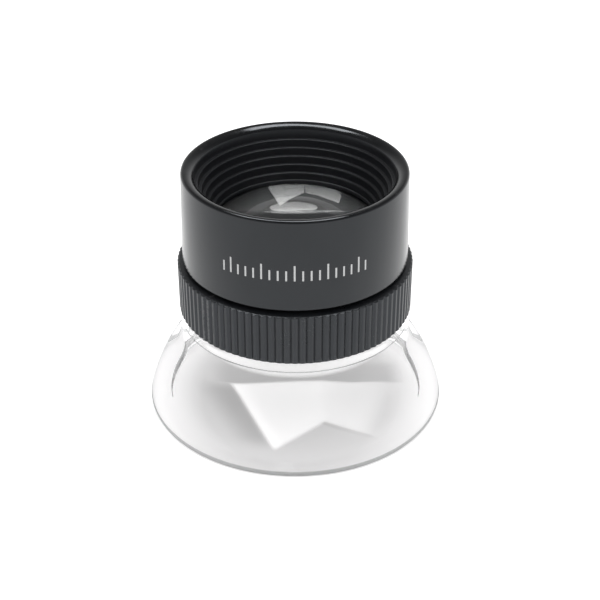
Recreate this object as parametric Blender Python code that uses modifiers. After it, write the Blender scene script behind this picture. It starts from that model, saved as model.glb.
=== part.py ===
"""Focusing stand loupe: a clear flared skirt, a knurled focusing ring that turns on the skirt's neck,
and a black eyepiece with two cemented lens pairs that the ring's screw thread raises and lowers.

Metres, +Z up; the dimensions below are in millimetres. The optical axis is Z, and the origin is the
centre of the skirt's foot, on the surface it stands on.
"""

import math

import bmesh
import bpy
from mathutils import Matrix

MM = 0.001

# ---------------------------------------------------------------- dimensions, in millimetres
STEPS_LARGE = 56          # facets round the large turned pieces
STEPS_SMALL = 48          # facets round the lenses, rings and threads
CUTTER_LENGTH = 40.0      # slot cutters pass right across the piece

# clear skirt
FOOT_R = 22.0             # outer radius of the foot
FOOT_H = 0.8              # height of the foot band
FOOT_BAND_Z = 0.55        # point part-way up the foot band
FOOT_CHAMFER = 0.2
DOME_TOP_Z = 9.9          # where the flared dome would meet the neck
DOME_A, DOME_B = 1.34, 1.354  # roundness of the dome
DOME_SPANS = 7
FILLET_RISE = 1.2         # hollow fillet: its height above DOME_TOP_Z,
FILLET_DROP = 0.45        # its depth below it,
FILLET_POWER = 2.2        # how sharply it flares,
FILLET_SPANS = 4          # and its number of straight spans
NECK_R = 16.85            # outer radius of the neck
NECK_TOP_Z = 15.17        # shoulder under the focusing ring
NECK_CHAMFER = 0.15
NECK_BORE_R = 14.2        # bore of the neck and the spigot
NECK_LINE_Z = 14.1        # fine line turned round the neck
NECK_LINE_DEPTH = 0.10
CAVITY_R = 18.7           # inner radius at the foot
CAVITY_TOP_Z = 11.0       # where the cavity runs out into the neck bore
CAVITY_A, CAVITY_B = 1.4, 1.65  # roundness of the cavity
CAVITY_SPANS = 8
SPIGOT_R = 15.45          # thin wall that the focusing ring turns on
SPIGOT_TOP_Z = 20.1
SPIGOT_CHAMFER = 0.3
KEYWAY_W = 1.7            # slots in the spigot that stop the eyepiece turning
KEYWAY_BOTTOM_Z = 15.75
KEYWAY_OVERSHOOT = 1.0    # cutter height above the spigot

# snap ring, and the grooves for it in the spigot and the focusing ring
WIRE_Z = 17.3
WIRE_R = 15.62            # axis to the wire's centre line
WIRE_THICKNESS_R = 0.27
WIRE_POINTS = 44
WIRE_GAP = math.radians(24)
SPIGOT_GROOVE_R = 15.15
SPIGOT_GROOVE_HALF = 0.45
RING_GROOVE_R = 16.02
RING_GROOVE_HALF = 0.43

# focusing ring
RING_R = 17.0             # over the crests of the knurling
RING_BOTTOM_Z = 15.47
RING_TOP_Z = 23.02
RING_LOWER_BORE_R = 15.75
RING_FLANGE_Z = 20.4      # underside of the threaded flange
RING_THREAD_BORE_R = 13.6
RING_BORE_CHAMFER = 0.35
RING_ENVELOPE_CLEAR = 0.12    # turned envelope outside the knurling crests
KNURL_COUNT = 96
KNURL_DEPTH = 0.38
KNURL_CREST_HALF = 0.31   # half width of a crest, as a share of the knurl pitch
KNURL_OVERSHOOT = 1.0     # knurled block beyond each end of the ring

# focusing thread
THREAD_PITCH = 2.0
THREAD_TOP_R = 13.85      # crest of the thread on the lens cell
THREAD_ROOT_HALF = 0.50   # half widths of the ridge at its root and its crest
THREAD_CREST_HALF = 0.26
THREAD_CLEAR = 0.18
THREAD_START_Z = RING_FLANGE_Z - 1.7  # ridge and groove share one helix
THREAD_PHASE = math.radians(2.9)   # keeps the thread's facets off those of the turned pieces

# lens cell and its guide pins
CELL_BOTTOM_Z = 15.5
CELL_TOP_Z = 28.6
CELL_R = 13.3
CELL_BORE_R = 12.0
CELL_TOP_CHAMFER = 0.2
CELL_FOOT_CHAMFER = 0.25
CELL_BORE_CHAMFER = 0.35
RIDGE_SINK = 0.12         # thread ridge's root inside the cell wall
RIDGE_BARREL_GAP = 0.25   # thread left off below the barrel
PIN_Z = 16.8
PIN_R = 0.5
PIN_SPAN = (12.55, 15.0)  # inner and outer ends, from the axis
PIN_HOLE_CLEAR = 0.06
PIN_HOLE_SPAN = (12.45, 14.4)

# eyepiece barrel
BARREL_BOTTOM_Z = 23.6
BARREL_TOP_Z = 37.0
BARREL_R_LOW = 16.24
BARREL_R_TOP = 15.92
BARREL_FOOT_CHAMFER = 0.22
BARREL_BORE_R = 13.6
BARREL_BORE_CHAMFER = 0.2
RIM_OUTER_R = 0.45        # from the rim's crest out to the barrel's top radius
RIM_CORNER_R = RIM_OUTER_R - 0.02
RIM_CORNER_SPANS = 3
RIM_INNER_SPANS = 5
CUP_R0, CUP_Z0 = 14.05, 36.10     # first step edge of the eyecup
CUP_STEPS = 6
CUP_DR, CUP_DZ = 0.5, 1.125
CUP_RISER_LEAN = 0.03     # each riser's foot lies this much nearer the axis
CUP_FLOOR_Z = 29.4
LIP_R = 11.25
LIP_UNDER_Z = 28.9

# lenses and spacer
LENS_R = 11.7
LENS_SPANS = 5            # spans from the axis to the edge
OUTER_CURVE_R = 22.0
CEMENT_CURVE_R = 38.0
EDGE_T = 1.0
FLINT_T = 1.1
CEMENT_GAP = 0.05
AXIAL_GAP = 0.10
EYE_EDGE_TOP_Z = 28.50
SPACER_T = 1.0
SPACER_BORE_R = 10.7
SPACER_BORE_TOP_R = 10.4
STOP_R = 5.1              # hole of the stop that the spacer carries between the lens pairs
STOP_T = 0.4
STOP_FLARE = 0.1          # widening of the hole at its underside

# lens retaining ring
RETAINER_R = 11.85
RETAINER_BORE_R = 10.9
RETAINER_H = 1.5
RETAINER_DROP = 0.45      # its top, below the edge of the lowest lens
RETAINER_BOTTOM_CHAMFER = 0.25
SPANNER_SLOT_W = 1.4
SPANNER_SLOT_CUT_H = 0.8  # height of the cutter, centred on the ring's underside


# ---------------------------------------------------------------- scene
for old in list(bpy.data.objects):
    bpy.data.objects.remove(old, do_unlink=True)

part_collection = bpy.data.collections.new("viewing_loupe")
cutter_collection = bpy.data.collections.new("cutters")
bpy.context.scene.collection.children.link(part_collection)
bpy.context.scene.collection.children.link(cutter_collection)


def pivot(name, height=0.0, parent=None):
    """An empty on the optical axis."""
    empty = bpy.data.objects.new(name, None)
    empty.location = (0.0, 0.0, height * MM)
    empty.empty_display_size = 0.005
    empty.parent = parent
    part_collection.objects.link(empty)
    return empty


def add_part(obj, parent, mat):
    """Parent a piece to a pivot, keeping its own origin at the world's."""
    part_collection.objects.link(obj)
    obj.parent = parent
    obj.matrix_parent_inverse = Matrix.Translation(parent.location).inverted()
    obj.data.materials.append(mat)
    return obj


def add_cutter(obj):
    cutter_collection.objects.link(obj)
    obj.hide_render = True
    obj.display_type = "WIRE"
    return obj


# ---------------------------------------------------------------- materials
def material(name, colour, roughness, metallic=0.0, alpha=1.0, transmission=0.0, ior=1.49):
    mat = bpy.data.materials.new(name)
    mat.use_nodes = True
    shader = mat.node_tree.nodes["Principled BSDF"]
    shader.inputs["Base Color"].default_value = (*colour, 1.0)
    shader.inputs["Roughness"].default_value = roughness
    shader.inputs["Metallic"].default_value = metallic
    shader.inputs["Transmission Weight"].default_value = transmission
    shader.inputs["IOR"].default_value = ior
    shader.inputs["Alpha"].default_value = alpha
    mat.diffuse_color = (*colour, alpha)
    return mat


def clear_material(name, colour, roughness, ior):
    return material(name, colour, roughness, alpha=0.35, transmission=1.0, ior=ior)


ACRYLIC = clear_material("clear_acrylic", colour=(0.97, 0.98, 0.98), roughness=0.03, ior=1.49)
BLACK_SATIN = material("black_satin_shell", colour=(0.012, 0.012, 0.013), roughness=0.28)
BLACK_RING = material("black_knurled_ring", colour=(0.014, 0.014, 0.015), roughness=0.38)
BLACK_MATT = material("black_matt_cell", colour=(0.010, 0.010, 0.011), roughness=0.55)
CROWN = clear_material("crown_glass", colour=(0.98, 0.99, 0.98), roughness=0.0, ior=1.62)
FLINT = clear_material("flint_glass", colour=(0.97, 0.98, 0.97), roughness=0.0, ior=1.755)
STEEL = material("spring_steel", colour=(0.55, 0.55, 0.56), roughness=0.30, metallic=1.0)
BRASS = material("blackened_brass", colour=(0.05, 0.045, 0.035), roughness=0.45, metallic=1.0)


# ---------------------------------------------------------------- shape helpers
def mesh_object(name, shape):
    """Turn a bmesh into an object and free it."""
    mesh = bpy.data.meshes.new(name)
    shape.to_mesh(mesh)
    shape.free()
    return bpy.data.objects.new(name, mesh)


def turned(name, points, steps, closed=True):
    """A turned piece: a profile in (radius, height) millimetres with a Screw modifier about Z.
    The profile runs down the outer side and back up the inner one, or from axis to axis."""
    shape = bmesh.new()
    verts = [shape.verts.new((r * MM, 0.0, z * MM)) for r, z in points]
    for first, second in zip(verts, verts[1:]):
        shape.edges.new((first, second))
    if closed:
        shape.edges.new((verts[-1], verts[0]))
    obj = mesh_object(name, shape)
    screw = obj.modifiers.new("Turn", "SCREW")
    screw.axis = "Z"
    screw.angle = 2 * math.pi
    screw.steps = steps
    screw.render_steps = steps
    screw.use_merge_vertices = True
    screw.merge_threshold = 0.000001
    screw.use_smooth_shade = True
    return obj


def cut(obj, cutter, name, operation="DIFFERENCE"):
    boolean = obj.modifiers.new(name, "BOOLEAN")
    boolean.operation = operation
    boolean.object = cutter
    boolean.solver = "EXACT"


def slot_cutter(name, width, height, centre_z, angle=0.0):
    """A box lying along X across the optical axis, then turned about that axis."""
    size = (CUTTER_LENGTH, width, height)
    shape = bmesh.new()
    bmesh.ops.create_cube(shape, size=1.0)
    bmesh.ops.scale(shape, vec=[s * MM for s in size], verts=shape.verts)
    bmesh.ops.translate(shape, vec=(0.0, 0.0, centre_z * MM), verts=shape.verts)
    turn = Matrix.Rotation(angle, 3, "Z")
    bmesh.ops.rotate(shape, cent=(0, 0, 0), matrix=turn, verts=shape.verts)
    return add_cutter(mesh_object(name, shape))


def rod(name, radius, span, side):
    """A short cylinder along X at the pins' height; side is -1 or 1, for -X or +X."""
    start, end = span
    shape = bmesh.new()
    bmesh.ops.create_cone(
        shape,
        cap_ends=True,
        segments=20,
        radius1=radius * MM,
        radius2=radius * MM,
        depth=(end - start) * MM,
    )
    tip_over = Matrix.Rotation(math.pi / 2, 3, "Y")
    bmesh.ops.rotate(shape, cent=(0, 0, 0), matrix=tip_over, verts=shape.verts)
    centre = (side * (start + end) / 2 * MM, 0.0, PIN_Z * MM)
    bmesh.ops.translate(shape, vec=centre, verts=shape.verts)
    return mesh_object(name, shape)


def thread_cutter(name, root_r, crest_r, root_half, crest_half, climb):
    """A screw-thread ridge: its section spun about Z while it climbs one pitch a turn."""
    shape = bmesh.new()
    section = [
        (root_r, THREAD_START_Z - root_half),
        (crest_r, THREAD_START_Z - crest_half),
        (crest_r, THREAD_START_Z + crest_half),
        (root_r, THREAD_START_Z + root_half),
    ]
    face = shape.faces.new([shape.verts.new((r * MM, 0.0, z * MM)) for r, z in section])
    count = round(climb / THREAD_PITCH * STEPS_SMALL)
    bmesh.ops.spin(
        shape,
        geom=[face] + list(face.edges) + list(face.verts),
        cent=(0, 0, 0),
        axis=(0, 0, 1),
        dvec=(0, 0, THREAD_PITCH * MM / STEPS_SMALL),
        angle=2 * math.pi * count / STEPS_SMALL,
        steps=count,
        use_duplicate=False,
    )
    bmesh.ops.remove_doubles(shape, verts=shape.verts, dist=1e-7)
    phase = Matrix.Rotation(THREAD_PHASE, 3, "Z")
    bmesh.ops.rotate(shape, cent=(0, 0, 0), matrix=phase, verts=shape.verts)
    bmesh.ops.recalc_face_normals(shape, faces=shape.faces)
    return add_cutter(mesh_object(name, shape))


def round_corner(before, corner, after, radius, spans):
    """Points of the arc that rounds a profile corner lying between two neighbours."""

    def unit(x, z):
        length = math.hypot(x, z)
        return x / length, z / length

    x, z = corner
    back_x, back_z = unit(before[0] - x, before[1] - z)
    on_x, on_z = unit(after[0] - x, after[1] - z)
    half = 0.5 * math.acos(back_x * on_x + back_z * on_z)
    mid_x, mid_z = unit(back_x + on_x, back_z + on_z)
    centre_x = x + mid_x * radius / math.sin(half)
    centre_z = z + mid_z * radius / math.sin(half)
    tangent = radius / math.tan(half)
    start = math.atan2(z + back_z * tangent - centre_z, x + back_x * tangent - centre_x)
    end = math.atan2(z + on_z * tangent - centre_z, x + on_x * tangent - centre_x)
    turn = (end - start + math.pi) % (2 * math.pi) - math.pi
    angles = [start + turn * k / spans for k in range(spans + 1)]
    return [(centre_x + radius * math.cos(a), centre_z + radius * math.sin(a)) for a in angles]


# ---------------------------------------------------------------- clear skirt
def dome_radius(z):
    """Outer radius of the flared dome at height z."""
    return NECK_R + (FOOT_R - NECK_R) * (1 - (z / DOME_TOP_Z) ** DOME_A) ** (1 / DOME_B)


def dome_profile():
    """The hollow fillet under the neck, then the dome down to the foot band."""
    start_z, end_z = DOME_TOP_Z + FILLET_RISE, DOME_TOP_Z - FILLET_DROP
    flare = dome_radius(end_z) - NECK_R
    points = []
    for k in range(FILLET_SPANS):
        t = k / FILLET_SPANS
        points.append((NECK_R + flare * t**FILLET_POWER, start_z + (end_z - start_z) * t))
    for k in range(DOME_SPANS + 1):
        z = end_z + (FOOT_H - end_z) * k / DOME_SPANS
        points.append((dome_radius(z), z))
    return points


def cavity_profile():
    """Inner side of the skirt, from the foot up to where it runs out into the bore."""
    points = []
    for k in range(CAVITY_SPANS + 1):
        z = FOOT_CHAMFER + (CAVITY_TOP_Z - FOOT_CHAMFER) * k / CAVITY_SPANS
        # max() keeps rounding error at the top from giving a negative base
        fullness = max(0.0, 1 - (z / CAVITY_TOP_Z) ** CAVITY_A) ** CAVITY_B
        points.append((NECK_BORE_R + (CAVITY_R - NECK_BORE_R) * fullness, z))
    return points


def build_skirt(parent):
    profile = [
        (SPIGOT_R - SPIGOT_CHAMFER, SPIGOT_TOP_Z),
        (SPIGOT_R, SPIGOT_TOP_Z - SPIGOT_CHAMFER),
        # snap ring groove
        (SPIGOT_R, WIRE_Z + SPIGOT_GROOVE_HALF),
        (SPIGOT_GROOVE_R, WIRE_Z + SPIGOT_GROOVE_HALF),
        (SPIGOT_GROOVE_R, WIRE_Z - SPIGOT_GROOVE_HALF),
        (SPIGOT_R, WIRE_Z - SPIGOT_GROOVE_HALF),
        # shoulder and neck
        (SPIGOT_R, NECK_TOP_Z),
        (NECK_R - NECK_CHAMFER, NECK_TOP_Z),
        (NECK_R, NECK_TOP_Z - NECK_CHAMFER),
        (NECK_R, NECK_LINE_Z + NECK_LINE_DEPTH),
        (NECK_R - NECK_LINE_DEPTH, NECK_LINE_Z),
        (NECK_R, NECK_LINE_Z - NECK_LINE_DEPTH),
        *dome_profile(),
        # foot
        (FOOT_R, FOOT_BAND_Z),
        (FOOT_R, FOOT_CHAMFER),
        (FOOT_R - FOOT_CHAMFER, 0.0),
        (CAVITY_R + FOOT_CHAMFER, 0.0),
        *cavity_profile(),
        (NECK_BORE_R, SPIGOT_TOP_Z),
    ]
    skirt = add_part(turned("clear_skirt", profile, STEPS_LARGE), parent, ACRYLIC)
    top = SPIGOT_TOP_Z + KEYWAY_OVERSHOOT
    height, centre_z = top - KEYWAY_BOTTOM_Z, (top + KEYWAY_BOTTOM_Z) / 2
    cut(skirt, slot_cutter("keyway_cutter", KEYWAY_W, height, centre_z), "Keyways")


def build_snap_wire(parent):
    """A wire C between the spigot and the focusing ring, with its gap towards +Y."""
    wire = bpy.data.curves.new("ring_snap_wire", "CURVE")
    wire.dimensions = "3D"
    spline = wire.splines.new("POLY")
    spline.points.add(WIRE_POINTS - 1)
    start, sweep = math.pi / 2 + WIRE_GAP / 2, 2 * math.pi - WIRE_GAP
    for k, point in enumerate(spline.points):
        angle = start + sweep * k / (WIRE_POINTS - 1)
        x, y = WIRE_R * math.cos(angle), WIRE_R * math.sin(angle)
        point.co = (x * MM, y * MM, WIRE_Z * MM, 1.0)
    wire.bevel_depth = WIRE_THICKNESS_R * MM
    wire.bevel_resolution = 2
    wire.use_fill_caps = True
    wire.resolution_u = 1
    add_part(bpy.data.objects.new("ring_snap_wire", wire), parent, STEEL)


# ---------------------------------------------------------------- knurled focusing ring
def knurl_block():
    """A solid prism whose star-shaped outline carries the straight knurling."""
    outline = bpy.data.curves.new("knurl_outline", "CURVE")
    outline.dimensions = "2D"
    outline.fill_mode = "BOTH"
    outline.extrude = (RING_TOP_Z - RING_BOTTOM_Z + 2 * KNURL_OVERSHOOT) / 2 * MM
    pitch = 2 * math.pi / KNURL_COUNT
    knurls = []
    for k in range(KNURL_COUNT):
        centre = 2 * math.pi * k / KNURL_COUNT
        knurls.append((RING_R, centre - KNURL_CREST_HALF * pitch))
        knurls.append((RING_R, centre + KNURL_CREST_HALF * pitch))
        knurls.append((RING_R - KNURL_DEPTH, centre + 0.5 * pitch))
    star = outline.splines.new("POLY")
    star.points.add(len(knurls) - 1)
    for point, (r, angle) in zip(star.points, knurls):
        point.co = (r * math.cos(angle) * MM, r * math.sin(angle) * MM, 0.0, 1.0)
    star.use_cyclic_u = True
    outline_obj = bpy.data.objects.new("knurl_outline", outline)
    cutter_collection.objects.link(outline_obj)

    # the curve becomes a mesh, welded to make it a closed solid
    bpy.context.view_layer.update()
    depsgraph = bpy.context.evaluated_depsgraph_get()
    solid = bpy.data.meshes.new_from_object(outline_obj.evaluated_get(depsgraph))
    shape = bmesh.new()
    shape.from_mesh(solid)
    bpy.data.meshes.remove(solid)
    bpy.data.objects.remove(outline_obj, do_unlink=True)
    bmesh.ops.remove_doubles(shape, verts=shape.verts, dist=1e-7)
    centre_z = (RING_TOP_Z + RING_BOTTOM_Z) / 2
    bmesh.ops.translate(shape, vec=(0, 0, centre_z * MM), verts=shape.verts)
    bmesh.ops.recalc_face_normals(shape, faces=shape.faces)
    return add_cutter(mesh_object("knurl_block", shape))


def build_focus_ring(parent):
    """The turned envelope gives the bores and chamfers; the knurled block gives the outside."""
    envelope_r = RING_R + RING_ENVELOPE_CLEAR
    profile = [
        (RING_THREAD_BORE_R + RING_BORE_CHAMFER, RING_TOP_Z),
        (RING_R - 0.42, RING_TOP_Z),
        (envelope_r, RING_TOP_Z - 0.40),
        (envelope_r, RING_BOTTOM_Z + 0.32),
        (RING_R - 0.30, RING_BOTTOM_Z),
        (RING_LOWER_BORE_R, RING_BOTTOM_Z),
        # snap ring groove
        (RING_LOWER_BORE_R, WIRE_Z - RING_GROOVE_HALF),
        (RING_GROOVE_R, WIRE_Z - RING_GROOVE_HALF),
        (RING_GROOVE_R, WIRE_Z + RING_GROOVE_HALF),
        (RING_LOWER_BORE_R, WIRE_Z + RING_GROOVE_HALF),
        # threaded flange
        (RING_LOWER_BORE_R, RING_FLANGE_Z),
        (RING_THREAD_BORE_R, RING_FLANGE_Z),
        (RING_THREAD_BORE_R, RING_TOP_Z - RING_BORE_CHAMFER),
    ]
    ring = add_part(turned("focus_ring", profile, STEPS_LARGE), parent, BLACK_RING)
    cut(ring, knurl_block(), "Knurling", "INTERSECT")
    groove = thread_cutter(
        "thread_groove_cutter",
        root_r=RING_THREAD_BORE_R - 0.6,
        crest_r=THREAD_TOP_R + THREAD_CLEAR + 0.02,
        root_half=THREAD_ROOT_HALF + THREAD_CLEAR + 0.30,
        crest_half=THREAD_CREST_HALF + THREAD_CLEAR * 0.6,
        climb=RING_TOP_Z - RING_FLANGE_Z + 3.0,
    )
    cut(ring, groove, "Thread groove")


# ---------------------------------------------------------------- lens cell
def build_lens_cell(parent):
    """The tube round the lenses, with the focusing thread and two guide pins."""
    profile = [
        (CELL_BORE_R, CELL_TOP_Z),
        (CELL_R - CELL_TOP_CHAMFER, CELL_TOP_Z),
        (CELL_R, CELL_TOP_Z - CELL_TOP_CHAMFER),
        (CELL_R, CELL_BOTTOM_Z + CELL_FOOT_CHAMFER),
        (CELL_R - CELL_FOOT_CHAMFER, CELL_BOTTOM_Z),
        (CELL_BORE_R + CELL_BORE_CHAMFER, CELL_BOTTOM_Z),
        (CELL_BORE_R, CELL_BOTTOM_Z + CELL_BORE_CHAMFER),
    ]
    cell = add_part(turned("lens_cell", profile, STEPS_SMALL), parent, BLACK_MATT)
    ridge = thread_cutter(
        "thread_ridge",
        root_r=CELL_R - RIDGE_SINK,
        crest_r=THREAD_TOP_R,
        root_half=THREAD_ROOT_HALF,
        crest_half=THREAD_CREST_HALF,
        climb=BARREL_BOTTOM_Z - RIDGE_BARREL_GAP - THREAD_ROOT_HALF - THREAD_START_Z,
    )
    cut(cell, ridge, "Thread", "UNION")
    for side, label in ((-1, "left"), (1, "right")):
        hole = rod(f"pin_hole_{label}", PIN_R + PIN_HOLE_CLEAR, PIN_HOLE_SPAN, side)
        cut(cell, add_cutter(hole), f"Pin hole {label}")
        pin = rod(f"guide_pin_{label}", PIN_R, PIN_SPAN, side)
        pin.data.shade_smooth()
        pin.data.set_sharp_from_angle(angle=math.radians(40))
        add_part(pin, parent, STEEL)


# ---------------------------------------------------------------- eyepiece barrel
def eyecup_profile():
    """The eyecup's steps from the floor up: each has the riser's foot, then its top edge."""
    points = []
    for k in reversed(range(CUP_STEPS)):
        r, z = CUP_R0 - CUP_DR * k, CUP_Z0 - CUP_DZ * k
        foot_z = CUP_Z0 - CUP_DZ * (k + 1) if k < CUP_STEPS - 1 else CUP_FLOOR_Z
        points += [(r - CUP_RISER_LEAN, foot_z), (r, z)]
    return points


def rim_profile(crest_r):
    """The arc from the first step edge up to the rim's crest, without its two ends."""
    turn = 2 * math.atan((BARREL_TOP_Z - CUP_Z0) / (crest_r - CUP_R0))
    radius = (crest_r - CUP_R0) / math.sin(turn)
    angles = [turn * k / RIM_INNER_SPANS for k in range(RIM_INNER_SPANS - 1, 0, -1)]
    return [
        (crest_r - radius * math.sin(a), BARREL_TOP_Z - radius * (1 - math.cos(a)))
        for a in angles
    ]


def build_barrel(parent):
    crest = (BARREL_R_TOP - RIM_OUTER_R, BARREL_TOP_Z)
    top_corner = (BARREL_R_TOP, BARREL_TOP_Z)
    wall_foot = (BARREL_R_LOW, BARREL_BOTTOM_Z + BARREL_FOOT_CHAMFER)
    profile = [
        crest,
        *round_corner(crest, top_corner, wall_foot, RIM_CORNER_R, RIM_CORNER_SPANS),
        wall_foot,
        (BARREL_R_LOW - BARREL_FOOT_CHAMFER, BARREL_BOTTOM_Z),
        (BARREL_BORE_R + BARREL_BORE_CHAMFER, BARREL_BOTTOM_Z),
        (BARREL_BORE_R, BARREL_BOTTOM_Z + BARREL_BORE_CHAMFER),
        (BARREL_BORE_R, LIP_UNDER_Z),
        (LIP_R, LIP_UNDER_Z),
        (LIP_R, CUP_FLOOR_Z),
        *eyecup_profile(),
        *rim_profile(crest[0]),
    ]
    add_part(turned("eyepiece_barrel", profile, STEPS_LARGE), parent, BLACK_SATIN)


# ---------------------------------------------------------------- lenses
def sag(curve_r, r):
    """How far a spherical surface of radius curve_r falls away at radius r."""
    return curve_r - math.sqrt(curve_r * curve_r - r * r)


def sphere_arc(curve_r, vertex_z, direction):
    """Points from the axis out to the lens's edge; direction -1 falls away below the vertex."""
    radii = [LENS_R * k / LENS_SPANS for k in range(LENS_SPANS + 1)]
    return [(r, vertex_z + direction * sag(curve_r, r)) for r in radii]


def flat(z):
    """A flat lens surface, from the axis to the edge."""
    return [(0.0, z), (LENS_R, z)]


def add_lens(name, top, bottom, parent, mat):
    """top and bottom run from the axis to the edge; the solid is turned from axis to axis."""
    add_part(turned(name, top + bottom[::-1], STEPS_SMALL, closed=False), parent, mat)


def build_spacer(top, bottom, parent):
    profile = [
        (STOP_R, top),
        (LENS_R, top),
        (LENS_R, bottom),
        (SPACER_BORE_R, bottom),
        (SPACER_BORE_TOP_R, top - STOP_T),
        (STOP_R + STOP_FLARE, top - STOP_T),
    ]
    add_part(turned("lens_spacer", profile, STEPS_SMALL), parent, BLACK_MATT)


def build_lenses(parent):
    """Stack the lenses and spacer from the eye down; returns the height of the lowest edge."""
    outer_sag = sag(OUTER_CURVE_R, LENS_R)
    cement_sag = sag(CEMENT_CURVE_R, LENS_R)

    eye_cement = EYE_EDGE_TOP_Z - EDGE_T - cement_sag
    top = sphere_arc(OUTER_CURVE_R, EYE_EDGE_TOP_Z + outer_sag, -1)
    bottom = sphere_arc(CEMENT_CURVE_R, eye_cement, 1)
    add_lens("eye_crown_lens", top, bottom, parent, CROWN)

    eye_flint_bottom = eye_cement - CEMENT_GAP - FLINT_T
    top = sphere_arc(CEMENT_CURVE_R, eye_cement - CEMENT_GAP, 1)
    add_lens("eye_flint_lens", top, flat(eye_flint_bottom), parent, FLINT)

    spacer_top = eye_flint_bottom - AXIAL_GAP
    spacer_bottom = spacer_top - SPACER_T
    build_spacer(spacer_top, spacer_bottom, parent)

    field_flint_top = spacer_bottom - AXIAL_GAP
    field_cement = field_flint_top - FLINT_T
    bottom = sphere_arc(CEMENT_CURVE_R, field_cement, -1)
    add_lens("field_flint_lens", flat(field_flint_top), bottom, parent, FLINT)

    field_edge = field_cement - CEMENT_GAP - cement_sag - EDGE_T
    top = sphere_arc(CEMENT_CURVE_R, field_cement - CEMENT_GAP, -1)
    bottom = sphere_arc(OUTER_CURVE_R, field_edge - outer_sag, 1)
    add_lens("field_crown_lens", top, bottom, parent, CROWN)
    return field_edge


def build_retainer(lens_edge_z, parent):
    """Ring that clamps the lenses from below, with two slots for a pin spanner."""
    top = lens_edge_z - RETAINER_DROP
    bottom = top - RETAINER_H
    profile = [
        (RETAINER_BORE_R, top - 0.35),
        (RETAINER_BORE_R + 0.4, top),
        (RETAINER_R, top),
        (RETAINER_R, bottom),
        (RETAINER_BORE_R + RETAINER_BOTTOM_CHAMFER, bottom),
        (RETAINER_BORE_R, bottom + RETAINER_BOTTOM_CHAMFER),
    ]
    retainer = add_part(turned("lens_retaining_ring", profile, STEPS_SMALL), parent, BRASS)
    slot = slot_cutter(
        "spanner_slot_cutter", SPANNER_SLOT_W, SPANNER_SLOT_CUT_H, bottom, angle=math.pi / 2
    )
    cut(retainer, slot, "Spanner slots")


# ---------------------------------------------------------------- assembly
base = pivot("base")
ring_pivot = pivot("focus_ring_pivot", RING_BOTTOM_Z, base)
eyepiece_slide = pivot("eyepiece_slide", CELL_BOTTOM_Z, base)

build_skirt(base)
build_snap_wire(base)
build_focus_ring(ring_pivot)
build_lens_cell(eyepiece_slide)
build_barrel(eyepiece_slide)
lowest_edge = build_lenses(eyepiece_slide)
build_retainer(lowest_edge, eyepiece_slide)
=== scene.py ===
"""A viewing loupe standing on white paper: fine meshes and procedural materials over its CAD pieces.

The optical axis is Z, with the clear foot at z = 0 and the eyecup on top. The front, which carries
the index lines and faces the camera, is towards -Y; +X is on the right. Lengths are in millimetres
unless a comment says otherwise, and become metres where a mesh or a shader takes them.
"""

import math

import bmesh
import bpy
import numpy as np
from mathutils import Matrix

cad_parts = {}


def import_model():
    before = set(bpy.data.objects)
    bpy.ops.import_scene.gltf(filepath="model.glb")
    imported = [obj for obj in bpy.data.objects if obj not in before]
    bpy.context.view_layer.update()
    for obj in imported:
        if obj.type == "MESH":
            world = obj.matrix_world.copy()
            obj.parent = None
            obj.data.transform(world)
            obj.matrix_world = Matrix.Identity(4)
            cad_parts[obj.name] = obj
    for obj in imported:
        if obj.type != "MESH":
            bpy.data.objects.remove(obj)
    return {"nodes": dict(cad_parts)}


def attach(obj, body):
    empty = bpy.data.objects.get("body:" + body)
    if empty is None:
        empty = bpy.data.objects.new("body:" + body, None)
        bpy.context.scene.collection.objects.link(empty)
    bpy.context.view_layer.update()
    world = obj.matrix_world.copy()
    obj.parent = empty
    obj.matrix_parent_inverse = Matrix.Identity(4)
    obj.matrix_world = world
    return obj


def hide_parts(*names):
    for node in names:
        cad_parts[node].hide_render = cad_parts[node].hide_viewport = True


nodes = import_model()["nodes"]
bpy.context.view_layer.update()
MM = 0.001
PER_METRE = 1000.0
TAU = 2 * math.pi
scene = bpy.context.scene


# ------------------------------------------------------------------ profiles
def unit(x, z):
    length = math.hypot(x, z)
    return x / length, z / length


def rounded(points, radii, segments):
    """A polygon in (radius, height), its corners rounded as radii {index: radius} says."""
    out = []
    for i, (x, z) in enumerate(points):
        if i not in radii:
            out.append((x, z))
            continue
        before, after = points[i - 1], points[(i + 1) % len(points)]
        back_x, back_z = unit(before[0] - x, before[1] - z)
        next_x, next_z = unit(after[0] - x, after[1] - z)
        mid_x, mid_z = unit(back_x + next_x, back_z + next_z)
        half = 0.5 * math.acos(max(-1.0, min(1.0, back_x * next_x + back_z * next_z)))
        radius = radii[i]
        reach = radius / math.tan(half)
        centre_x = x + mid_x * radius / math.sin(half)
        centre_z = z + mid_z * radius / math.sin(half)
        start = math.atan2(z + back_z * reach - centre_z, x + back_x * reach - centre_x)
        end = math.atan2(z + next_z * reach - centre_z, x + next_x * reach - centre_x)
        sweep = (end - start + math.pi) % TAU - math.pi
        for k in range(segments + 1):
            angle = start + sweep * k / segments
            out.append((centre_x + radius * math.cos(angle), centre_z + radius * math.sin(angle)))
    return out


def line(start, end, count):
    """count evenly spaced points from start up to, but leaving out, end."""
    return [
        (start[0] + (end[0] - start[0]) * k / count, start[1] + (end[1] - start[1]) * k / count)
        for k in range(count)
    ]


# ------------------------------------------------------------------ meshes
def add_object(name, data):
    obj = bpy.data.objects.new(name, data)
    scene.collection.objects.link(obj)
    return obj


def shade(mesh, sharp=35.0):
    """Smooth shading with hard edges above sharp degrees, or with none if it is None."""
    mesh.shade_smooth()
    if sharp is not None:
        mesh.set_sharp_from_angle(angle=math.radians(sharp))


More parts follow.
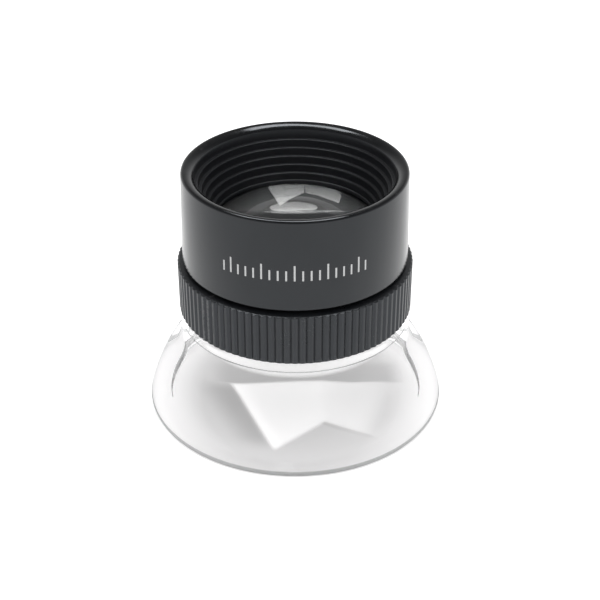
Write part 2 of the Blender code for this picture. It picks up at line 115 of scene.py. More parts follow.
def mesh_object(name, verts, faces, sharp):
    mesh = bpy.data.meshes.new(name)
    mesh.from_pydata(verts, [], faces)
    mesh.validate()
    shape = bmesh.new()
    shape.from_mesh(mesh)
    if shape.calc_volume(signed=True) < 0:
        bmesh.ops.reverse_faces(shape, faces=shape.faces)
    shape.to_mesh(mesh)
    shape.free()
    shade(mesh, sharp)
    return add_object(name, mesh)


def spin(profile, steps):
    """Radius (profile point, angle step) and height (profile point, 1) of a turned profile."""
    rows = np.array(profile, float)
    return np.repeat(rows[:, :1], steps, 1), rows[:, 1:]


def ring_verts(radius, height):
    steps = radius.shape[1]
    angle = TAU * np.arange(steps) / steps
    x, y = radius * np.cos(angle) * MM, radius * np.sin(angle) * MM
    z = np.broadcast_to(height, radius.shape) * MM
    return np.stack([x, y, z], -1).reshape(-1, 3).tolist()


def band(first, second, steps):
    """The quads between two rings of vertices."""
    a, b = first * steps, second * steps
    return [
        [a + j, b + j, b + (j + 1) % steps, a + (j + 1) % steps] for j in range(steps)
    ]


def ring_solid(name, radius, height, sharp):
    """A turned piece around an open middle, from the arrays that spin gives."""
    rows, steps = radius.shape
    faces = [quad for i in range(rows) for quad in band(i, (i + 1) % rows, steps)]
    return mesh_object(name, ring_verts(radius, height), faces, sharp)


def turned(name, profile, steps, sharp=35.0):
    return ring_solid(name, *spin(profile, steps), sharp)


def spun_lens(name, top, bottom, steps=192):
    """A turned solid that closes on the axis. top and bottom run from the axis to the edge."""
    rim = top[1:] + bottom[:0:-1]
    verts = ring_verts(*spin(rim, steps))
    verts += [[0, 0, top[0][1] * MM], [0, 0, bottom[0][1] * MM]]
    rows = len(rim)
    faces = [quad for i in range(rows - 1) for quad in band(i, i + 1, steps)]
    top_centre, bottom_centre = rows * steps, rows * steps + 1
    last_ring = (rows - 1) * steps
    for j in range(steps):
        k = (j + 1) % steps
        faces.append([top_centre, j, k])
        faces.append([bottom_centre, last_ring + k, last_ring + j])
    return mesh_object(name, verts, faces, sharp=30.0)


def block(name, size, centre):
    shape = bmesh.new()
    bmesh.ops.create_cube(shape, size=1.0)
    for vert in shape.verts:
        vert.co = [vert.co[k] * size[k] * MM + centre[k] * MM for k in range(3)]
    mesh = bpy.data.meshes.new(name)
    shape.to_mesh(mesh)
    shape.free()
    return add_object(name, mesh)


def carve(obj, cutter):
    """Cuts a helper object out of obj and removes the helper."""
    boolean = obj.modifiers.new("Cut", "BOOLEAN")
    boolean.operation = "DIFFERENCE"
    boolean.object = cutter
    boolean.solver = "EXACT"
    depsgraph = bpy.context.evaluated_depsgraph_get()
    made = bpy.data.meshes.new_from_object(obj.evaluated_get(depsgraph))
    obj.modifiers.clear()
    obj.data = made
    bpy.data.objects.remove(cutter, do_unlink=True)
    shade(made)


def ridge(z, angle, root_half, crest_half, start_z, turns):
    """0..1 height of a helical ridge, root_half and crest_half being half its widths along Z."""
    pitch, start_angle, end_taper = 2.0, math.radians(2.9), 0.04    # the taper is in turns
    best = 0.0
    for k in range(-1, int(turns) + 2):
        turn = (angle - start_angle) / TAU % 1.0 + k
        away = np.abs(z - (start_z + pitch * turn))
        height = np.clip((root_half - away) / (root_half - crest_half), 0, 1)
        ends = np.clip(np.minimum(turn, turns - turn) / end_taper, 0, 1)
        best = np.maximum(best, height * ends)
    return best


def spin_threaded(profile, first, last, steps, depth, **ridge_shape):
    """As spin, with a helical ridge on the profile points from first up to last."""
    radius, height = spin(profile, steps)
    angle = TAU * np.arange(steps) / steps
    radius[first:last] += depth * ridge(height[first:last], angle, **ridge_shape)
    return radius, height


def paint(obj, material):
    obj.data.materials.clear()
    obj.data.materials.append(material)


def fit(obj, material, rides, slot, *replaced):
    """Paints a finished piece and puts it in place of the CAD pieces."""
    paint(obj, material)
    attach(obj, rides)
    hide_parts(*replaced)


# ------------------------------------------------------------------ shader graphs
class Graph:
    """Short-hand for the nodes of a material or world. Any input takes a value or a socket."""

    def __init__(self, owner, output="OutputMaterial", spare=0.0):
        """spare is what the unused inputs of math nodes hold."""
        self.owner, self.spare, self.coord = owner, spare, None
        owner.use_nodes = True
        self.tree = owner.node_tree
        self.tree.nodes.clear()
        self.out = self.node(output)

    def put(self, socket, value):
        """Links or sets an input. Colours are given without their alpha."""
        if isinstance(value, bpy.types.NodeSocket):
            self.tree.links.new(value, socket)
        else:
            socket.default_value = (*value, 1.0) if socket.type == "RGBA" else value

    def node(self, kind, **inputs):
        made = self.tree.nodes.new("ShaderNode" + kind)
        for key, value in inputs.items():
            self.put(made.inputs[key.replace("_", " ")], value)
        return made

    def socket(self, kind, **inputs):
        """The first output of a new node."""
        return self.node(kind, **inputs).outputs[0]

    def place(self, kind="Object"):
        """Texture coordinates, from one node that the whole graph shares."""
        if self.coord is None:
            self.coord = self.node("TexCoord")
        return self.coord.outputs[kind]

    def split(self, vector):
        return tuple(self.node("SeparateXYZ", Vector=vector).outputs)

    def math(self, operation, *values):
        made = self.node("Math")
        made.operation = operation
        for socket, value in zip(made.inputs, values + (self.spare,) * (3 - len(values))):
            self.put(socket, value)
        return made.outputs[0]

    def times(self, product, *factors):
        for factor in factors:
            product = self.math("MULTIPLY", product, factor)
        return product

    def square_sum(self, a, b):
        return self.math("ADD", self.times(a, a), self.times(b, b))

    def length(self, a, b):
        return self.math("SQRT", self.square_sum(a, b))

    def noise(self, size_mm, detail=2.0, rough=0.5, stretch=(1, 1, 1), distort=0.0):
        """Noise whose features are about size_mm across."""
        made = self.node(
            "TexNoise",
            Vector=self.socket("Mapping", Vector=self.place(), Scale=stretch),
            Scale=1.0 / (size_mm * MM),
            Detail=detail,
            Roughness=rough,
            Distortion=distort,
        )
        return made.outputs["Fac"]

    def remap(self, value, span, to=(0.0, 1.0), smooth=False):
        """Carries the range span over to the range to."""
        made = self.node(
            "MapRange", Value=value, From_Min=span[0], From_Max=span[1], To_Min=to[0], To_Max=to[1]
        )
        if smooth:
            made.interpolation_type = "SMOOTHSTEP"
        return made.outputs[0]

    def blend(self, factor, a, b):
        """Mixes two colours."""
        made = self.node("Mix")
        made.data_type = "RGBA"
        self.put(made.inputs["Factor"], factor)
        self.put(made.inputs[6], a)
        self.put(made.inputs[7], b)
        return made.outputs[2]

    def mix(self, factor, a, b):
        """Mixes two shaders."""
        made = self.node("MixShader")
        for socket, value in zip(made.inputs, (factor, a, b)):
            self.put(socket, value)
        return made.outputs[0]

    def bump(self, height, depth_um, **inputs):
        return self.socket("Bump", Height=height, Distance=depth_um * 1e-6, **inputs)

    def principled(self, **inputs):
        return self.socket("BsdfPrincipled", **inputs)

    def finish(self, shader):
        self.put(self.out.inputs["Surface"], shader)
        return self.owner


def material_graph(name):
    return Graph(bpy.data.materials.new(name))


# ------------------------------------------------------------------ materials
def moulded_black(name, colour, rough, grain_mm, grain_um, wear=0.0, marked=False):
    """Black moulded plastic: fine grain, slow ripple, handling marks and lighter worn edges.
    With marked it also has a matt eyecup, lightened with painted light, and printed index lines."""
    graph = material_graph(name)
    grain = graph.noise(grain_mm, detail=3.0, rough=0.6)
    ripple = graph.noise(size_mm=2.5, detail=1.0, rough=0.4, stretch=(1, 1, 0.45))
    smear = graph.noise(size_mm=4.0, detail=4.0, rough=0.62, stretch=(1, 1, 0.5), distort=0.6)
    hair = graph.noise(size_mm=0.35, stretch=(1, 1, 14), distort=0.3)
    roughness = graph.math(
        "ADD",
        graph.remap(smear, (0.35, 0.7), to=(rough - 0.03, rough + 0.06)),
        graph.remap(hair, (0.62, 0.75), to=(0.0, 0.06)),
    )
    normal = graph.bump(grain, grain_um)
    normal = graph.bump(ripple, depth_um=7.2, Normal=normal)
    smeared_colour = tuple(c * 1.5 + 0.001 for c in colour)
    tone = graph.blend(graph.remap(smear, (0.3, 0.75)), colour, smeared_colour)
    if wear:
        pointiness = graph.node("NewGeometry").outputs["Pointiness"]
        edge = graph.remap(pointiness, (0.54, 0.66))
        patchy = graph.remap(graph.noise(size_mm=0.5, detail=3.0, rough=0.7), (0.42, 0.62))
        worn_colour = (0.10, 0.10, 0.102)
        tone = graph.blend(graph.times(edge, patchy, wear), tone, worn_colour)
    if marked:
        # painted light: the inside of the cup is matt and coloured lighter than the barrel, lifting
        # its dim recess
        cup_limit, cup_lift_colour, cup_rough = 14.2 * MM, (0.0085, 0.0088, 0.0105), 0.36
        mark_colour, mark_rough = (0.47, 0.47, 0.47), 0.55
        x, y, _ = graph.split(graph.place())
        cup = graph.math("LESS_THAN", graph.length(x, y), cup_limit)
        tone = graph.blend(cup, tone, cup_lift_colour)
        roughness = graph.math("MAXIMUM", roughness, graph.times(cup, cup_rough))
        marks = index_lines(graph)
        tone = graph.blend(marks, tone, mark_colour)
        roughness = graph.math("MAXIMUM", roughness, graph.times(marks, mark_rough))
    return graph.finish(
        graph.principled(
            Base_Color=tone,
            Roughness=roughness,
            Normal=normal,
            IOR=1.5,
            Specular_IOR_Level=0.44,
            Specular_Tint=(0.90, 0.95, 1.0),
        )
    )


def index_lines(graph):
    """1 on a row of plain upright lines around the front of the barrel, every fourth one longer."""
    barrel_r, step, half_line, half_row = 16.25, 1.13, 0.125, 9.3    # half_row is in steps
    low_z, top_z, extra = 28.25, 29.75, 0.80
    x, y, z = graph.split(graph.place())
    arc = graph.times(graph.math("ARCTAN2", x, graph.times(y, -1.0)), barrel_r)
    height = graph.times(z, PER_METRE)
    cell = graph.math("ABSOLUTE", graph.math("WRAP", arc, step / 2, -step / 2))
    inside = graph.math("LESS_THAN", graph.math("ABSOLUTE", arc), step * half_row)
    on_line = graph.math("LESS_THAN", cell, half_line)
    long_cell = graph.math("ABSOLUTE", graph.math("WRAP", arc, step * 2, -step * 2))
    is_long = graph.math("LESS_THAN", long_cell, step * 0.4)
    top = graph.math("ADD", top_z, graph.times(is_long, extra))
    above = graph.math("GREATER_THAN", height, low_z)
    below = graph.math("LESS_THAN", height, top)
    mask = graph.times(graph.times(on_line, inside), graph.times(above, below))
    flecks = graph.noise(size_mm=0.12, rough=0.6)
    return graph.times(mask, graph.remap(flecks, (0.30, 0.42), to=(0.55, 1.0)))


GROOVE_Z = 14.1    # the fine groove around the neck of the skirt


def grey_band_mask(graph, radius, z):
    """Where the skirt is greyed: its foot band, and the groove around its neck."""
    foot = graph.times(
        graph.remap(z, (0.62 * MM, 0.82 * MM), to=(1.0, 0.0)),
        graph.remap(radius, (21.8 * MM, 21.9 * MM)),
    )
    foot = graph.times(foot, graph.math("GREATER_THAN", z, 0.06 * MM))
    from_groove = graph.math("ABSOLUTE", graph.math("SUBTRACT", z, GROOVE_Z * MM))
    groove = graph.math("LESS_THAN", from_groove, 0.13 * MM)
    groove = graph.times(groove, graph.math("GREATER_THAN", radius, 16.5 * MM))
    return graph.math("MAXIMUM", foot, graph.times(groove, 0.8))


def clear_plastic():
    """Moulded acrylic: polished, with a slow flow ripple and hairline scuffs, a soft sheen where it
    is seen edge on, a painted grey edge shade that is stronger in level views, and greyish bands at
    the foot and in the neck groove."""
    graph = material_graph("skirt_clear_acrylic")
    flow = graph.noise(size_mm=5.0, detail=1.0, rough=0.4)
    scuff = graph.noise(size_mm=0.25, stretch=(9, 1, 1.5), distort=0.8)
    roughness = graph.remap(scuff, (0.66, 0.80), to=(0.0, 0.04))
    normal = graph.bump(flow, depth_um=5.0)
    clear = graph.principled(
        Base_Color=(0.974, 0.969, 0.971),
        Roughness=roughness,
        Normal=normal,
        IOR=1.025,
        Transmission_Weight=1.0,
    )
    sheen = graph.socket("BsdfGlossy", Roughness=0.02, Color=(0.92, 0.93, 0.93), Normal=normal)
    facing = graph.node("LayerWeight", Blend=0.5, Normal=normal).outputs["Facing"]
    x, y, z = graph.split(graph.place())
    radius = graph.length(x, y)
    # both edge effects fade from the outside in towards the bore
    fade = graph.remap(radius, (14.5 * MM, 17.2 * MM), to=(0.15, 1.0))

    sheen_power, sheen_gain, sheen_least = 7.0, 0.20, 0.015
    edge_on = graph.times(graph.math("POWER", facing, sheen_power), fade)
    amount = graph.math("MULTIPLY_ADD", edge_on, sheen_gain, sheen_least)
    body = graph.mix(amount, clear, sheen)

    # painted edge shade: where the skirt is seen edge on, a grey see-through layer darkens it, more
    # in level views, standing in for the dim surroundings mirrored at its silhouettes
    edge_shade_power, edge_shade_gain, edge_shade_from_z = 5.0, 0.36, 0.6 * MM
    edge_shade = graph.socket("BsdfTransparent", Color=(0.52, 0.52, 0.53))
    sight_z = graph.split(graph.node("NewGeometry").outputs["Incoming"])[2]
    level = graph.remap(graph.math("ABSOLUTE", sight_z), (0.40, 0.52), to=(0.95, 0.0))
    strength = graph.math("ADD", level, graph.times(fade, edge_shade_gain))
    shading = graph.times(graph.math("POWER", facing, edge_shade_power), strength)
    shading = graph.times(shading, graph.math("GREATER_THAN", z, edge_shade_from_z))
    edged = graph.mix(shading, body, edge_shade)

    grey_band_amount = 0.62
    mask = grey_band_mask(graph, radius, z)
    grain = graph.noise(size_mm=0.15, rough=0.6)
    grey = graph.blend(grain, (0.30, 0.31, 0.31), (0.42, 0.43, 0.43))
    grey_band = graph.socket("BsdfTransparent", Color=grey)
    return graph.finish(graph.mix(graph.times(mask, grey_band_amount), edged, grey_band))


def optical_glass(name):
    """Polished, coated lens glass with a trace of dust."""
    graph = material_graph(name)
    dust = graph.remap(graph.noise(size_mm=0.18), (0.74, 0.80), to=(0.0, 0.08))
    return graph.finish(
        graph.principled(
            Base_Color=(0.985, 0.992, 0.985), Roughness=dust, IOR=1.62, Transmission_Weight=1.0
        )
    )


def drawn_steel():
    graph = material_graph("drawn_spring_steel")
    streak = graph.noise(size_mm=0.06, stretch=(0.1, 1, 1))
    return graph.finish(
        graph.principled(
            Base_Color=graph.blend(streak, (0.42, 0.42, 0.43), (0.68, 0.68, 0.69)),
            Metallic=1.0,
            Roughness=graph.remap(streak, (0.3, 0.7), to=(0.2, 0.38)),
            Normal=graph.bump(streak, depth_um=1.5),
        )
    )


def blackened_brass():
    """Black over brass that shows through in worn places, with fine turning lines."""
    graph = material_graph("blackened_retaining_ring")
    worn = graph.noise(size_mm=0.7, detail=4.0, rough=0.65)
    turned_lines = graph.noise(size_mm=0.05, detail=1.0, stretch=(0.2, 0.2, 1))
    black, bare = (0.018, 0.016, 0.014), (0.16, 0.12, 0.06)
    return graph.finish(
        graph.principled(
            Base_Color=graph.blend(graph.remap(worn, (0.55, 0.75)), black, bare),
            Metallic=0.7,
            Roughness=graph.remap(worn, (0.3, 0.7), to=(0.32, 0.5)),
            Normal=graph.bump(turned_lines, depth_um=1.2),
        )
    )


BARREL = moulded_black(
    "barrel_black_satin",
    colour=(0.0035, 0.0036, 0.0042), rough=0.16, grain_mm=0.08, grain_um=0.35, wear=0.25, marked=True,
)
RING = moulded_black(
    "ring_black_knurled",
    colour=(0.0082, 0.0088, 0.0104), rough=0.30, grain_mm=0.10, grain_um=1.2, wear=0.6,
)
CELL = moulded_black(
    "cell_black_matt", colour=(0.006, 0.006, 0.0062), rough=0.42, grain_mm=0.06, grain_um=1.5
)
SPACER = moulded_black(
    "spacer_black_matt", colour=(0.005, 0.005, 0.005), rough=0.5, grain_mm=0.06, grain_um=1.5
)
ACRYLIC = clear_plastic()
GLASS_EYE = optical_glass("eye_lens_glass")
GLASS_FIELD = optical_glass("field_lens_glass")
STEEL = drawn_steel()
BRASS = blackened_brass()

# ------------------------------------------------------------------ clear skirt
DOME_TOP_Z, DOME_POWER, DOME_ROOT = 9.9, 1.34, 1.354
NECK_R, FOOT_R, FOOT_INNER_R = 16.85, 22.0, 18.68
FOOT_TOP_Z = 0.8                             # where the dome meets the upright foot edge
FILLET_TOP_Z, FILLET_END_Z = DOME_TOP_Z + 1.2, DOME_TOP_Z - 0.45
SLEEVE_R, SLEEVE_TOP, SHOULDER_Z = 15.45, 20.1, 15.17
WIRE_GROOVE_R, WIRE_GROOVE_LOW, WIRE_GROOVE_HIGH = 15.15, 16.85, 17.75
SKIRT_BORE_R, CAVITY_LOW, CAVITY_HEIGHT = 14.2, 0.5, 10.5
CAVITY_TOP = CAVITY_LOW + CAVITY_HEIGHT
KEY_WIDTH, KEY_HEIGHT, KEY_LOW = 1.7, 5.35, 15.75
NECK_GROOVE = [                              # (height above GROOVE_Z, depth)
    (0.12, 0.0), (0.07, 0.03), (0.02, 0.10), (-0.02, 0.10), (-0.07, 0.03), (-0.12, 0.0),
]


def dome_radius(z):
    return NECK_R + (FOOT_R - NECK_R) * (1 - (z / DOME_TOP_Z) ** DOME_POWER) ** (1 / DOME_ROOT)


def cavity_radius(z):
    return SKIRT_BORE_R + 4.5 * (1 - (z / CAVITY_TOP) ** 1.4) ** 1.65


def skirt_profile():
    sleeve = [
        (WIRE_GROOVE_R, SLEEVE_TOP),
        (SLEEVE_R, SLEEVE_TOP - 0.3),
        (SLEEVE_R, WIRE_GROOVE_HIGH),
        (WIRE_GROOVE_R, WIRE_GROOVE_HIGH),
        (WIRE_GROOVE_R, WIRE_GROOVE_LOW),
    ]
    shoulder = rounded(
        [
            (SLEEVE_R, WIRE_GROOVE_LOW),
            (SLEEVE_R, SHOULDER_Z),
            (NECK_R, SHOULDER_Z),
            (NECK_R, 14.3),
        ],
        {2: 0.22},
        segments=8,
    )
    neck = [(NECK_R - depth, GROOVE_Z + rise) for rise, depth in NECK_GROOVE] + [(NECK_R, 13.0)]
    flare = dome_radius(FILLET_END_Z) - NECK_R
    fillet = [
        (NECK_R + flare * t**2.2, FILLET_TOP_Z + (FILLET_END_Z - FILLET_TOP_Z) * t)
        for t in (k / 16 for k in range(16))
    ]
    dome_z = [FILLET_END_Z + (FOOT_TOP_Z - FILLET_END_Z) * k / 56 for k in range(57)]
    dome = [(dome_radius(z), z) for z in dome_z]
    foot = rounded(
        [
            (FOOT_R, FOOT_TOP_Z),
            (FOOT_R, 0.0),
            (FOOT_INNER_R, 0.0),
            (cavity_radius(FOOT_TOP_Z), FOOT_TOP_Z),
        ],
        {1: 0.22, 2: 0.2},
        segments=8,
    )
    cavity_z = [CAVITY_LOW + CAVITY_HEIGHT * k / 60 for k in range(61)]
    cavity = [(cavity_radius(z), z) for z in cavity_z]
    bore = [(SKIRT_BORE_R, 12.0), (SKIRT_BORE_R, SLEEVE_TOP)]
    return sleeve + shoulder + neck + fillet + dome + foot[1:-1] + cavity + bore


skirt = turned("clear_skirt_fine", skirt_profile(), steps=384, sharp=30)
carve(skirt, block("keyway", (40.0, KEY_WIDTH, KEY_HEIGHT), (0.0, 0.0, KEY_LOW + KEY_HEIGHT / 2)))
fit(skirt, ACRYLIC, "base", "clear_acrylic", "clear_skirt")

# ------------------------------------------------------------------ knurled focusing ring
KNURLS, STEPS_PER_KNURL = 96, 12
RING_R, RING_LOW, RING_HIGH = 17.0, 15.47, 23.02
RING_BORE_R, THREAD_BORE_R, THREAD_LOW = 15.75, 13.6, 20.4


def knurl_radius():
    """The outer radius at each angle step: V grooves between slightly crowned crests."""
    groove_depth, groove_inset, groove_half = 0.27, 0.03, 0.34
    crown_drop, crown_half = 0.06, 0.30
    turn = (np.arange(KNURLS * STEPS_PER_KNURL) / STEPS_PER_KNURL) % 1.0
    off_groove = np.abs(turn - 0.5)          # 0 in the groove, 0.5 on the crest
    groove = np.clip(1 - off_groove / groove_half, 0, 1)
    crest = RING_R - crown_drop * np.clip((0.5 - off_groove) / crown_half, 0, 1) ** 2
    return np.minimum(crest, RING_R - groove_inset - groove_depth * groove)


def focus_ring():
    corners = [
        (RING_R - 0.34, RING_HIGH),
        (RING_R - 0.28, RING_HIGH - 0.02),
        (RING_R + 0.06, RING_HIGH - 0.22),
        (RING_R + 0.10, RING_LOW + 0.22),
        (RING_R - 0.30, RING_LOW),
    ]
    rows = []
    for start, end, count in zip(corners, corners[1:], (2, 12, 2, 14)):
        rows += line(start, end, count)
    outer_rows = len(rows)
    rows += rounded(
        [
            corners[-1],
            (RING_BORE_R, RING_LOW),
            (RING_BORE_R, 16.87),            # a groove facing the one in the skirt
            (16.02, 16.87),
            (16.02, 17.73),
            (RING_BORE_R, 17.73),
            (RING_BORE_R, THREAD_LOW),
            (13.9, THREAD_LOW),
        ],
        {1: 0.12},
        segments=3,
    )
    first = len(rows)
    thread_top = (THREAD_BORE_R, RING_HIGH)
    rows += line((THREAD_BORE_R, THREAD_LOW), thread_top, 30) + [thread_top]
    last = len(rows)
    rows += line((13.95, RING_HIGH), corners[0], 3)
    radius, height = spin_threaded(
        rows, first, last, KNURLS * STEPS_PER_KNURL, depth=0.42,
        root_half=0.86, crest_half=0.40, start_z=16.7, turns=6.0,
    )
    radius[:outer_rows] = np.minimum(radius[:outer_rows], knurl_radius())
    return ring_solid("focus_ring_fine", radius, height, sharp=28)


fit(focus_ring(), RING, "focus_ring", "black_ring", "focus_ring")

# ------------------------------------------------------------------ barrel with the stepped eyecup
BARREL_LOW_R, BARREL_TOP_R, BARREL_TOP, BARREL_LOW = 16.24, 15.92, 37.0, 23.6
BARREL_BORE_R, MOUTH_R, WEB_LOW, WEB_TOP = 13.6, 11.25, 28.9, 29.4
CUP_R, CUP_Z, CUP_STEPS, TREAD, RISER = 14.05, 36.10, 6, 0.5, 1.125
CREST_R = BARREL_TOP_R - 0.45


def barrel_profile():
    shell = [
        (CREST_R, BARREL_TOP),
        (BARREL_TOP_R, BARREL_TOP),
        (BARREL_LOW_R, BARREL_LOW),
        (BARREL_BORE_R, BARREL_LOW),
        (BARREL_BORE_R, WEB_LOW),
        (MOUTH_R, WEB_LOW),
        (MOUTH_R, WEB_TOP),
    ]
    radii = {1: 0.43, 2: 0.22, 3: 0.15, 6: 0.12}
    # the cup steps from the mouth up and out; the lowest riser ends on the web
    for k in reversed(range(CUP_STEPS)):
        radius = CUP_R - TREAD * k
        floor_z = CUP_Z - RISER * (k + 1) if k < CUP_STEPS - 1 else WEB_TOP
        shell.append((radius - 0.03, floor_z))
        radii[len(shell) - 1] = 0.06
        shell.append((radius, CUP_Z - RISER * k))
        if k:
            radii[len(shell) - 1] = 0.11
    # a circular arc from the cup up to the crest
    arc_turn = 2 * math.atan((BARREL_TOP - CUP_Z) / (CREST_R - CUP_R))
    arc_r = (CREST_R - CUP_R) / math.sin(arc_turn)
    for k in range(13, 0, -1):
        angle = arc_turn * k / 14
        shell.append(
            (CREST_R - arc_r * math.sin(angle), BARREL_TOP - arc_r * (1 - math.cos(angle)))
        )
    return rounded(shell, radii, segments=7)


barrel = turned("eyepiece_barrel_fine", barrel_profile(), steps=256, sharp=40)
fit(barrel, BARREL, "eyepiece", "black_shell", "eyepiece_barrel")

# ------------------------------------------------------------------ threaded lens cell
CELL_R, CELL_BORE_R, CELL_TOP, CELL_LOW = 13.3, 12.0, 28.6, 15.5


def lens_cell():
    rows = rounded(
        [(CELL_BORE_R, CELL_TOP), (CELL_R, CELL_TOP), (CELL_R, 23.6)], {1: 0.2}, segments=5
    )
    first = len(rows)
    rows += line((CELL_R, 23.55), (CELL_R, 17.75), 64)
    last = len(rows)
    rows += rounded(
        [(CELL_R, 17.5), (CELL_R, CELL_LOW), (CELL_BORE_R, CELL_LOW), (CELL_BORE_R, 17.0)],
        {1: 0.25, 2: 0.35},
        segments=5,
    )
    radius, height = spin_threaded(
        rows, first, last, steps=240, depth=0.55,
        root_half=0.50, crest_half=0.26, start_z=18.7, turns=2.075,
    )
    return ring_solid("lens_cell_fine", radius, height, sharp=40)


fit(lens_cell(), CELL, "eyepiece", "black_cell", "lens_cell")

# ------------------------------------------------------------------ lenses
# Each pair is one solid, its thickness stacked up from crown, cement and flint.
LENS_R, OUTER_CURVE, CEMENT_CURVE = 11.7, 22.0, 38.0
CROWN_EDGE, CEMENT_GAP, FLINT_THICK = 1.0, 0.05, 1.1
EYE_EDGE_Z, SPACER_THICK, SPACER_PLAY = 28.50, 1.0, 0.10


def sag(curve, radius):
    return curve - math.sqrt(curve * curve - radius * radius)


def domed(vertex, direction, count=36):
    """A lens face curving away from its vertex, up (1) or down (-1)."""
    radii = [LENS_R * k / count for k in range(count + 1)]
    return [(radius, vertex + direction * sag(OUTER_CURVE, radius)) for radius in radii]


def flat(z):
    return [(0.0, z), (LENS_R * 0.5, z), (LENS_R, z)]


outer_sag = sag(OUTER_CURVE, LENS_R)
pair_edge = CROWN_EDGE + sag(CEMENT_CURVE, LENS_R) + CEMENT_GAP + FLINT_THICK
eye_bottom = EYE_EDGE_Z - pair_edge
field_top = eye_bottom - SPACER_PLAY - SPACER_THICK - SPACER_PLAY
field_edge = field_top - pair_edge
eye_lens = spun_lens("eye_lens_pair", domed(EYE_EDGE_Z + outer_sag, -1), flat(eye_bottom))
fit(eye_lens, GLASS_EYE, "eyepiece", "crown_glass", "eye_crown_lens", "eye_flint_lens")
field_lens = spun_lens("field_lens_pair", flat(field_top), domed(field_edge - outer_sag, 1))
fit(field_lens, GLASS_FIELD, "eyepiece", "crown_glass", "field_crown_lens", "field_flint_lens")

# ------------------------------------------------------------------ lens retaining ring
RETAINER_R, RETAINER_BORE_R = 11.85, 10.9
RETAINER_TOP = field_edge - 0.45
RETAINER_LOW = RETAINER_TOP - 1.5
retainer_profile = rounded(
    [
        (RETAINER_BORE_R, RETAINER_TOP - 0.35),
        (11.3, RETAINER_TOP),
        (RETAINER_R, RETAINER_TOP),
        (RETAINER_R, RETAINER_LOW),
        (11.15, RETAINER_LOW),
        (RETAINER_BORE_R, RETAINER_TOP - 1.25),
    ],
    {2: 0.05, 3: 0.05},
    segments=3,
)
retainer = turned("lens_retaining_ring_fine", retainer_profile, steps=192)
carve(retainer, block("spanner_slot", (1.4, 40.0, 0.8), (0.0, 0.0, RETAINER_LOW)))
fit(retainer, BRASS, "eyepiece", "black_brass", "lens_retaining_ring")

# ------------------------------------------------------------------ CAD pieces kept as they are
for name, material in (
    ("lens_spacer", SPACER),
    ("guide_pin_left", STEEL),
    ("guide_pin_right", STEEL),
    ("ring_snap_wire", STEEL),
):
    paint(nodes[name], material)
    shade(nodes[name].data)

# ------------------------------------------------------------------ paper floor
FLOOR_LIFT, PATCH_LIFT, PATCH_SHADE, WALL_LIFT = 0.50, 0.36, 0.42, 0.75
# Convex patches of light and shade: corners (x, y) anticlockwise, each with the softness of the
# edge that leaves it.
PATCHES = {
    "left_lobe": [(-9.9, 0.4, 0.45), (-3.0, -15.9, 0.6), (4.3, -9.4, 0.02), (4.3, 1.2, 0.35)],
    "right_lobe": [(4.3, 1.2, 0.02), (4.3, -9.4, 0.6), (10.6, -12.6, 2.4), (14.6, 0.2, 0.35)],
    "edge_glow": [(-9.9, 0.0, 0.4), (-3.4, -15.4, 0.8), (-1.9, -15.4, 1.0), (-7.9, 0.0, 0.8)],
    "left_shade": [(-14.0, 0.0, 2.2), (-7.0, -14.5, 2.0), (-4.0, -14.5, 0.6), (-9.9, 0.0, 2.0)],
    "left_strip": [(-12.0, 0.7, 0.3), (4.3, 1.5, 0.02), (4.3, 6.0, 1.4), (-12.0, 6.5, 2.0)],
    "right_strip": [(4.3, 1.5, 0.3), (16.0, 0.5, 2.0), (16.0, 6.5, 1.4), (4.3, 6.0, 0.02)],
    # a thin line of painted shade along the notch and the lower edge of the right lobe
    "notch_shade": [
        (3.4, -9.5, 0.4), (4.6, -10.4, 0.5), (11.4, -13.2, 1.0), (11.2, -12.6, 0.3), (4.5, -9.2, 0.4),
    ],
}


def patch(graph, x, y, name):
    """1 inside one of the PATCHES."""
    corners = PATCHES[name]
    inside = None
    for k, (start_x, start_y, soft) in enumerate(corners):
        end_x, end_y, _ = corners[(k + 1) % len(corners)]
        length = math.hypot(end_x - start_x, end_y - start_y)
        normal_x, normal_y = -(end_y - start_y) / length, (end_x - start_x) / length
        offset = -(start_x * normal_x + start_y * normal_y)
        across = graph.math("MULTIPLY_ADD", x, normal_x * PER_METRE, offset)
        across = graph.math("MULTIPLY_ADD", y, normal_y * PER_METRE, across)
        edge = graph.remap(across, (-soft, soft), smooth=True)
        inside = edge if inside is None else graph.times(inside, edge)
    return inside


